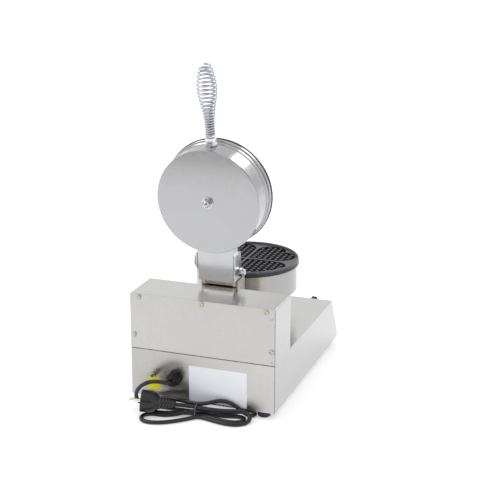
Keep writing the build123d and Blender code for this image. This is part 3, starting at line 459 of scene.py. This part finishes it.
M["plug"] = plug_material()
M["rubber"] = plastic("foot_rubber", (0.020, 0.020, 0.021), 0.55, 0.4, noise_scale=700.0, bump=0.3, dist=0.0001)
M["cord"] = plastic("cord_rubber", (0.010, 0.009, 0.012), 0.30, 0.45, noise_scale=1500.0, bump=0.10, dist=0.00005, dust=0.02)
M["black"] = plastic("black_plastic", (0.011, 0.011, 0.013), 0.36, 0.45, noise_scale=1100.0, bump=0.15)
M["gland"] = plastic("gland_nylon", (0.004, 0.004, 0.005), 0.42, 0.22, noise_scale=1000.0, bump=0.12)
M["gloss"] = plastic("black_gloss_plastic", (0.018, 0.018, 0.020), 0.16, 0.5, noise_scale=700.0, bump=0.05)
M["white"] = plastic("white_plate", (0.76, 0.78, 0.815), 0.07, 0.6, noise_scale=60.0, bump=0.03, dist=0.0001, vary=0.015)
M["yellow"] = plastic("yellow_plate", (0.86, 0.80, 0.002), 0.36, 0.3, noise_scale=300.0, bump=0.05, vary=0.03)
M["pale"] = plastic("pale_plastic", (0.55, 0.53, 0.48), 0.4, 0.5)
M["ceramic"] = plastic("insulation_board", (0.62, 0.58, 0.50), 0.85, 0.2, noise_scale=300.0, bump=0.6, dist=0.0004)
M["element"] = plain_metal("element_sheath", (0.22, 0.21, 0.20), 0.5, dirt=(0.12, 0.09, 0.07))
M["copper"] = plain_metal("copper", (0.62, 0.32, 0.18), 0.3)
M["bronze"] = plain_metal("bronze_bush", (0.50, 0.34, 0.18), 0.35)
M["lamp_red"] = plastic("lamp_red", (0.60, 0.03, 0.01), 0.12, 0.5, noise_scale=400.0, bump=0.02, coat=0.4)

use = {
    "sheet": ["base_housing", "rear_box", "bottom_plate"],
    "back_sheet": ["back_panel", "rear_cover"],
    "drum": ["drum_pedestal", "drum_shell"],
    "plate": ["lower_heart_plate"],
    "plate_up": ["upper_heart_plate"],
    "post": ["hinge_post", "hinge_yoke"],
    "arm": ["lid_arm", "arm_side_plates"],
    "lid_wall": ["lid_shell"],
    "lid_cap": ["lid_cap"],
    "bright": ["cap_nut", "hinge_pin", "hinge_nut", "lid_centre_stud",
               "lower_plate_studs", "bottom_plate_screws", "foot_screws"],
    "nut_bright": ["handle_nuts", "handle_ferrule"],
    "chrome": ["coil_grip"],
    "stud_dark": ["handle_stud"],
    "screw_yellow": ["rear_cover_screws", "yoke_screws"],
    "brass": ["earth_stud", "earth_stud_nuts"],
    "rubber": ["rubber_feet", "open_stop_bumpers"],
    "gland": ["gland_body", "gland_cap"],
    "plug": ["plug_body"],
    "black": ["thermostat_knob", "timer_knob", "power_switch_body", "timer_body", "lid_heater_lead",
              "wiring_loom"],
    "gloss": ["power_rocker"],
    "white": ["white_plate_blank"],
    "yellow": ["yellow_plate_blank"],
    "pale": ["terminal_block", "thermostat_body"],
    "ceramic": ["lower_insulation", "upper_insulation"],
    "element": ["lower_element", "upper_element", "lower_element_clamp", "upper_element_clamp"],
    "copper": ["thermostat_capillary"],
    "bronze": ["hinge_bushes"],
    "lamp_red": ["indicator_lamps"],
    "pins": ["plug_pins"],
    "cord": ["mains_lead", "lead_hank", "plug_lead", "hank_tie"],
}
for key, names in use.items():
    for nm in names:
        me = N[nm].data
        me.materials.clear()
        me.materials.append(M[key])


# ------------------------------------------------------------------ mesh helpers
def new_object(name, mesh, mat, body):
    ob = bpy.data.objects.new(name, mesh)
    scene.collection.objects.link(ob)
    mesh.materials.clear()
    mesh.materials.append(mat)
    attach(ob, body)
    return ob


def tube_mesh(name, pts, radius, sides=12, closed=False, radii=None):
    """A round tube along points, with a steady frame carried along it."""
    pts = [Vector(p) for p in pts]
    n = len(pts)
    tang = []
    for i in range(n):
        if closed:
            d = pts[(i + 1) % n] - pts[i - 1]
        else:
            d = pts[min(i + 1, n - 1)] - pts[max(i - 1, 0)]
        tang.append(d.normalized())
    ref = Vector((0, 0, 1)) if abs(tang[0].z) < 0.9 else Vector((1, 0, 0))
    u = tang[0].cross(ref).normalized()
    rings = []
    bm = bmesh.new()
    for i in range(n):
        if i:
            q = tang[i - 1].rotation_difference(tang[i])
            u = (q @ u)
            u = (u - tang[i] * u.dot(tang[i])).normalized()
        v = tang[i].cross(u)
        r = radii[i] if radii else radius
        rings.append([bm.verts.new(pts[i] + (u * math.cos(2 * math.pi * k / sides) + v * math.sin(2 * math.pi * k / sides)) * r)
                      for k in range(sides)])
    m = n if closed else n - 1
    for i in range(m):
        a, b = rings[i], rings[(i + 1) % n]
        for k in range(sides):
            bm.faces.new((a[k], a[(k + 1) % sides], b[(k + 1) % sides], b[k]))
    if not closed:
        bm.faces.new(list(reversed(rings[0])))
        bm.faces.new(rings[-1])
    bmesh.ops.recalc_face_normals(bm, faces=bm.faces)
    me = bpy.data.meshes.new(name)
    bm.to_mesh(me)
    bm.free()
    for f in me.polygons:
        f.use_smooth = len(f.vertices) == 4
    return me


# ------------------------------------------------------------------ mains lead: one cord from the gland to the plug
FL = -8.55
LEAD = [(45.6, 26.2, 40.5), (47.0, 34.2, 42.6), (55.2, 40.4, 46.8), (68.0, 42.0, 46.4), (80.6, 40.8, 41.6), (92.2, 38.4, 33.2),
        (100.4, 34.6, 23.0), (104.2, 31.2, 13.0), (104.2, 27.6, 3.4), (98.8, 22.6, -4.4), (86.5, 17.0, -3.2),
        (70.5, 13.6, 4.0), (54.0, 14.2, 7.0), (37.0, 16.8, 8.2), (24.0, 19.4, 8.8), (12.02, 21.4, 9.0)]
HANK = [
    # over the tied middle and down the far side, its end pushed under the back edge
    (-1, 22.2, 9.0), (-13, 20.4, 10.2), (-24, 14.0, 12.2), (-34, 8.2, 13.2), (-44, 5.4, 12.6), (-54, 4.9, 9.8), (-63, 4.9, 5.2),
    (-72, 5.1, -0.6), (-80.5, 4.6, -6.4), (-88.6, -0.8, FL), (-89.4, -9.8, FL), (-83, -17.0, FL), (-73, -17.6, FL),
    (-64.5, -11.4, FL), (-57, -2.0, FL), (-48, 5.6, FL), (-36, 8.8, FL), (-24, 10.4, FL), (-12, 14.4, FL),
    # first loop under the plug
    (-1, 17.2, -7.8), (10, 16.0, FL), (22, 16.8, FL), (36, 17.4, FL), (50, 17.4, FL), (61, 17.2, FL),
    (70.4, 18.0, FL), (77.2, 22.4, FL), (78.8, 29.0, FL), (75.4, 35.6, FL), (67.6, 38.8, FL), (58, 38.4, FL), (47.5, 35.8, FL),
    (36.5, 32.2, FL), (23, 27.6, FL), (10, 24.4, FL),
    # inner loop on the other side
    (-1, 24.8, -7.9), (-12, 26.2, FL), (-25, 29.0, FL), (-39.8, 32.6, FL), (-54.2, 34.2, FL), (-66, 33.8, FL),
    (-75.4, 30.0, FL), (-80.4, 22.0, FL), (-78.6, 13.8, FL), (-70.4, 10.2, FL), (-58.5, 12.8, FL), (-46, 16.4, FL), (-34, 17.6, FL),
    (-22, 18.4, -8.2), (-11, 21.4, -2.6),
    # outer loop by the plug
    (-1, 28.0, -0.9), (9, 31.4, -2.4), (20, 35.6, -4.6), (33, 41.0, -7.4), (48, 46.0, FL), (60, 47.0, FL), (70.5, 47.8, FL),
    (78.8, 54.2, FL), (81.0, 64.2, FL), (76.2, 73.8, FL), (66.4, 78.4, FL), (54.6, 77.8, FL), (42, 73.2, FL), (29, 65.2, FL),
    (16, 54.4, FL), (5, 43.8, FL),
    # outermost loop, coming back over the top of the rest
    (-5, 34.2, -8.0), (-16, 34.2, FL), (-29, 37.6, FL), (-43, 41.0, FL), (-57, 42.8, FL), (-70, 42.2, FL), (-81, 37.2, FL),
    (-88.0, 27.4, FL), (-89.6, 17.4, -6.4), (-85.0, 11.4, -1.2), (-75, 11.2, 1.6), (-61, 15.0, 2.2), (-47, 19.8, 2.4), (-34, 22.6, 2.8),
    (-21, 25.2, 3.6), (-10, 26.6, 4.6), (-1, 28.4, 6.0),
]
TAIL = [(7.4, 29.9, 6.5), (15.8, 31.8, 7.2), (24.0, 34.2, 8.0), (31.4, 36.5, 8.75)]
ROUTE = LEAD + HANK + TAIL


def nurbs(name, pts, radius):
    cu = bpy.data.curves.new(name, "CURVE")
    cu.dimensions = "3D"
    sp = cu.splines.new("NURBS")
    sp.points.add(len(pts) - 1)
    for i, p in enumerate(pts):
        sp.points[i].co = (*P(*p), 1.0)
    sp.order_u = 3
    sp.use_endpoint_u = True
    cu.resolution_u = 8
    cu.bevel_depth = radius
    cu.bevel_resolution = 7
    cu.use_fill_caps = True
    ob = bpy.data.objects.new(name, cu)
    scene.collection.objects.link(ob)
    return ob


cord = nurbs("mains_cord", ROUTE, 0.0034)
cord.data.materials.append(M["cord"])
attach(cord, "base")
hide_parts("mains_lead", "lead_hank", "plug_lead")


# thin twisted wire that ties the bundle, pulled round the strands with its ends twisted on top
def hull(pts):
    pts = sorted(set(pts))

    def half(seq):
        h = []
        for p in seq:
            while len(h) > 1 and (h[-1][0] - h[-2][0]) * (p[1] - h[-2][1]) - (h[-1][1] - h[-2][1]) * (p[0] - h[-2][0]) <= 0:
                h.pop()
            h.append(p)
        return h[:-1]
    return half(pts) + half(reversed(pts))


strands = [(22.2, 9.0), (17.2, -7.8), (24.8, -7.9), (28.6, -0.9), (34.2, -8.0), (28.8, 6.0)]
ring = []
for sy, sz in strands:
    for k in range(24):
        a = 2 * math.pi * k / 24
        ring.append((round(sy + 3.85 * math.cos(a), 4), round(max(sz + 3.85 * math.sin(a), -11.5), 4)))
loop = hull(ring)
tie_pts = [P(-1.0 + 0.5 * math.sin(2 * math.pi * i / len(loop)), y, z) for i, (y, z) in enumerate(loop)]
me = tube_mesh("twist_tie", tie_pts, 0.00055, 8, closed=True)
bm = bmesh.new()
bm.from_mesh(me)
# the two ends twisted round each other and bent over
for s in (0, 1):
    ends = []
    for i in range(26):
        f = i / 25
        w = 0.65 * math.cos(f * 22 + s * math.pi)
        u = 0.65 * math.sin(f * 22 + s * math.pi)
        k = max(0.0, f - 0.72)
        ends.append(P(-1.0 + w + (7.0 if s else 2.0) * k, 24.6 + u * 0.7 + 9.0 * f, 12.8 + 4.2 * math.sin(f * 1.9) + 0.4 * u))
    e = tube_mesh("end", ends, 0.0005, 8)
    bm.from_mesh(e)
    bpy.data.meshes.remove(e)
bm.to_mesh(me)
bm.free()
for f in me.polygons:
    f.use_smooth = True
tie = new_object("twist_tie", me, M["tie_wire"], "base")
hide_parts("hank_tie")

# ------------------------------------------------------------------ coil grip: one wire wound round
COIL = [(15.6, 8.9), (22, 8.5), (34, 8.5), (41, 8.8), (49, 10.0), (57, 10.7), (65, 12.4), (72, 13.8), (81, 15.8),
        (90, 16.8), (99.5, 17.1), (112, 15.6), (122, 13.2), (128.5, 11.4), (133.5, 8.6), (136.5, 6.6)]


def coil_r(s):
    for (s0, r0), (s1, r1) in zip(COIL, COIL[1:]):
        if s <= s1:
            return r0 + (r1 - r0) * max(0.0, (s - s0) / (s1 - s0))
    return COIL[-1][1]


turns = [17.3]
while turns[-1] < 131.0:
    s = turns[-1]
    turns.append(s + (4.2 if s < 40 else 4.2 + 2.2 * min(1.0, (s - 40) / 25.0)))
WIRE = 1.62
pts = []
STEPS = 28
for k in range(len(turns) - 1):
    for j in range(STEPS):
        f = j / STEPS
        s = turns[k] + (turns[k + 1] - turns[k]) * f
        r = sum(coil_r(s + d) for d in (-2, 0, 2)) / 3 - WIRE
        a = 2 * math.pi * (k + f) - 0.6
        pts.append(HANP(r * math.cos(a), r * math.sin(a), s))
grip = new_object("coil_spring_grip", tube_mesh("coil_spring_grip", pts, WIRE / 1000, 10), M["chrome"], "lid")
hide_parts("coil_grip")

# painted shade: a black liner behind the slot at the foot of the hinge stands in for the shade seen through the slot
def slot_shade_liner():
    bm = bmesh.new()
    pts = []
    for cx, cz, a0 in ((21.5, 179.5, 0), (-21.5, 179.5, 90), (-21.5, 160.0, 180), (21.5, 160.0, 270)):
        for k in range(7):
            a = math.radians(a0 + 15 * k)
            pts.append((cx + 2.0 * math.cos(a), cz + 2.0 * math.sin(a)))
    rows = []
    for y, grow in ((-85.35, -0.25), (-85.55, 0.0), (-86.6, 0.0), (-86.8, -0.25)):
        rows.append([bm.verts.new(P(x + math.copysign(grow, x), y, z + math.copysign(grow, z - 170))) for x, z in pts])
    n = len(pts)
    for a, b in zip(rows, rows[1:]):
        for i in range(n):
            bm.faces.new((a[i], a[(i + 1) % n], b[(i + 1) % n], b[i]))
    bm.faces.new(rows[0])
    bm.faces.new(list(reversed(rows[-1])))
    bmesh.ops.recalc_face_normals(bm, faces=bm.faces)
    me = bpy.data.meshes.new("slot_shade_liner")
    bm.to_mesh(me)
    bm.free()
    return new_object("slot_shade_liner", me, M["gland"], "base")


slot_shade_liner()

# ------------------------------------------------------------------ printed dials and pointers
def SL(a, b, h):
    # control slope: a across, b up the slope from the knob line, h off its face
    return P(a, -350.531 + 0.475772 * b - 0.879569 * h, 47.317 + 0.879569 * b + 0.475772 * h)


def add_prism(bm, outline, h0, h1, place):
    lo = [bm.verts.new(place(x, y, h0)) for x, y in outline]
    hi = [bm.verts.new(place(x, y, h1)) for x, y in outline]
    n = len(outline)
    bm.faces.new(list(reversed(lo)))
    bm.faces.new(hi)
    for i in range(n):
        bm.faces.new((lo[i], lo[(i + 1) % n], hi[(i + 1) % n], hi[i]))


def numeral(text, size):
    # flat outline of a printed number, as vertices and faces around its own middle
    cu = bpy.data.curves.new("numeral", "FONT")
    cu.body = text
    cu.size = size
    cu.align_x, cu.align_y = "CENTER", "CENTER"
    cu.extrude = 0.04
    ob = bpy.data.objects.new("numeral", cu)
    scene.collection.objects.link(ob)
    dg = bpy.context.evaluated_depsgraph_get()
    me = bpy.data.meshes.new_from_object(ob.evaluated_get(dg))
    vs = [v.co.copy() for v in me.vertices]
    fs = [tuple(f.vertices) for f in me.polygons]
    bpy.data.objects.remove(ob)
    bpy.data.meshes.remove(me)
    return vs, fs


def dial(name, cx, labels, a0, a1, fine):
    bm = bmesh.new()
    steps = (len(labels) - 1) * fine
    for i in range(steps + 1):
        a = math.radians(a0 + (a1 - a0) * i / steps)
        major = i % fine == 0
        r0, r1, w = 23.2, (26.4 if major else 25.0), (0.42 if major else 0.24)
        d, e = (math.sin(a), math.cos(a)), (math.cos(a), -math.sin(a))
        quad = [(cx + d[0] * r0 - e[0] * w, d[1] * r0 - e[1] * w), (cx + d[0] * r0 + e[0] * w, d[1] * r0 + e[1] * w),
                (cx + d[0] * r1 + e[0] * w, d[1] * r1 + e[1] * w), (cx + d[0] * r1 - e[0] * w, d[1] * r1 - e[1] * w)]
        add_prism(bm, quad, 0.01, 0.09, SL)
    for i, text in enumerate(labels):
        a = math.radians(a0 + (a1 - a0) * i / (len(labels) - 1))
        vs, fs = numeral(text, 5.6)
        made = [bm.verts.new(SL(cx + math.sin(a) * 31.0 + v.x, math.cos(a) * 29.6 + v.y, 0.05 + v.z)) for v in vs]
        for f in fs:
            try:
                bm.faces.new([made[k] for k in f])
            except ValueError:
                pass
    me = bpy.data.meshes.new(name)
    bmesh.ops.recalc_face_normals(bm, faces=bm.faces)
    bm.to_mesh(me)
    bm.free()
    return new_object(name, me, M["print"], "base")


M["print"] = plastic("dial_print", (0.012, 0.012, 0.013), 0.45, 0.4, noise_scale=900.0, bump=0.05)
M["mark"] = plastic("white_mark", (0.74, 0.74, 0.72), 0.42, 0.4, noise_scale=900.0, bump=0.05)
dial("thermostat_dial", -82.0, ["0", "50", "100", "150", "200", "250", "300"], 0.0, 270.0, 5)
dial("timer_dial", 82.0, ["0", "1", "2", "3", "4", "5"], 0.0, 300.0, 4)


def knob_mark(name, cx, body):
    bm = bmesh.new()
    add_prism(bm, [(cx - 0.7, 6.0), (cx + 0.7, 6.0), (cx + 0.7, 16.0), (cx, 17.2), (cx - 0.7, 16.0)], 24.45, 24.58, SL)
    me = bpy.data.meshes.new(name)
    bmesh.ops.recalc_face_normals(bm, faces=bm.faces)
    bm.to_mesh(me)
    bm.free()
    return new_object(name, me, M["mark"], body)


knob_mark("thermostat_pointer", -82.0, "thermostat_knob")
knob_mark("timer_pointer", 82.0, "timer_knob")

# ------------------------------------------------------------------ stage
def plane(name, x0, x1, y0, y1, z):
    me = bpy.data.meshes.new(name)
    me.from_pydata([(x0, y0, z), (x1, y0, z), (x1, y1, z), (x0, y1, z)], [], [(0, 1, 2, 3)])
    ob = bpy.data.objects.new(name, me)
    scene.collection.objects.link(ob)
    return ob


floor = plane("floor", -60, 60, -60, 60, 0.0)
fm = Mat("floor_white")
fm.val("Base Color", (0.80, 0.80, 0.815, 1))
fm.val("Roughness", 0.9)
fm.val("Specular IOR Level", 0.1)
fm.val("Emission Color", (1.0, 1.0, 1.0, 1))
fm.val("Emission Strength", 0.37)
floor.data.materials.append(fm.m)

world = bpy.data.worlds.new("studio")
scene.world = world
world.use_nodes = True
wt = world.node_tree
wt.nodes.clear()
wo = wt.nodes.new("ShaderNodeOutputWorld")
bg = wt.nodes.new("ShaderNodeBackground")
bg.inputs[0].default_value = (1.0, 1.0, 1.0, 1)
bg.inputs[1].default_value = 0.96
wt.links.new(bg.outputs[0], wo.inputs[0])


def area(name, loc, aim, size, size_y, power, color=(1, 1, 1), glossy=True):
    l = bpy.data.lights.new(name, "AREA")
    l.shape = "RECTANGLE"
    l.size, l.size_y = size, size_y
    l.energy = power
    l.color = color
    o = bpy.data.objects.new(name, l)
    scene.collection.objects.link(o)
    o.location = loc
    o.rotation_mode = "QUATERNION"
    o.rotation_quaternion = (Vector(aim) - Vector(loc)).to_track_quat("-Z", "Y")
    o.visible_glossy = glossy
    o.visible_camera = False
    return o


area("key", (1.5, 0.5, 2.4), (0, 0, 0.15), 1.2, 1.2, 13)
area("rim", (-0.55, -2.6, 1.30), (0, 0, 0.3), 0.7, 0.5, 8, glossy=False)


def card(name, loc, aim, w, h, strength, color):
    # studio card that only shows in reflections
    me = bpy.data.meshes.new(name)
    me.from_pydata([(-w / 2, -h / 2, 0), (w / 2, -h / 2, 0), (w / 2, h / 2, 0), (-w / 2, h / 2, 0)], [], [(0, 1, 2, 3)])
    ob = bpy.data.objects.new(name, me)
    scene.collection.objects.link(ob)
    ob.location = loc
    ob.rotation_mode = "QUATERNION"
    ob.rotation_quaternion = (Vector(aim) - Vector(loc)).to_track_quat("-Z", "Y")
    ob.visible_camera = False
    ob.visible_diffuse = False
    ob.visible_shadow = False
    cmat = Mat(name)
    cmat.val("Base Color", (0.0, 0.0, 0.0, 1))
    cmat.val("Specular IOR Level", 0.0)
    cmat.val("Roughness", 1.0)
    cmat.val("Emission Color", (*color, 1))
    cmat.val("Emission Strength", strength)
    me.materials.append(cmat.m)
    return ob


card("dark_floor", (0.45, 2.12, 0.004), (0.45, 2.12, 1.0), 3.4, 2.3, 0.56, (1.0, 0.985, 0.95))
card("camera_side", (-1.05, 2.95, 1.05), (0.0, 0.1, 0.35), 2.1, 1.1, 0.06, (1.0, 1.0, 1.0))
card("softbox", (-0.185, -0.42, 0.655), (-0.06, 0.12, 0.42), 0.15, 0.40, 4.6, (1.0, 1.0, 1.0))
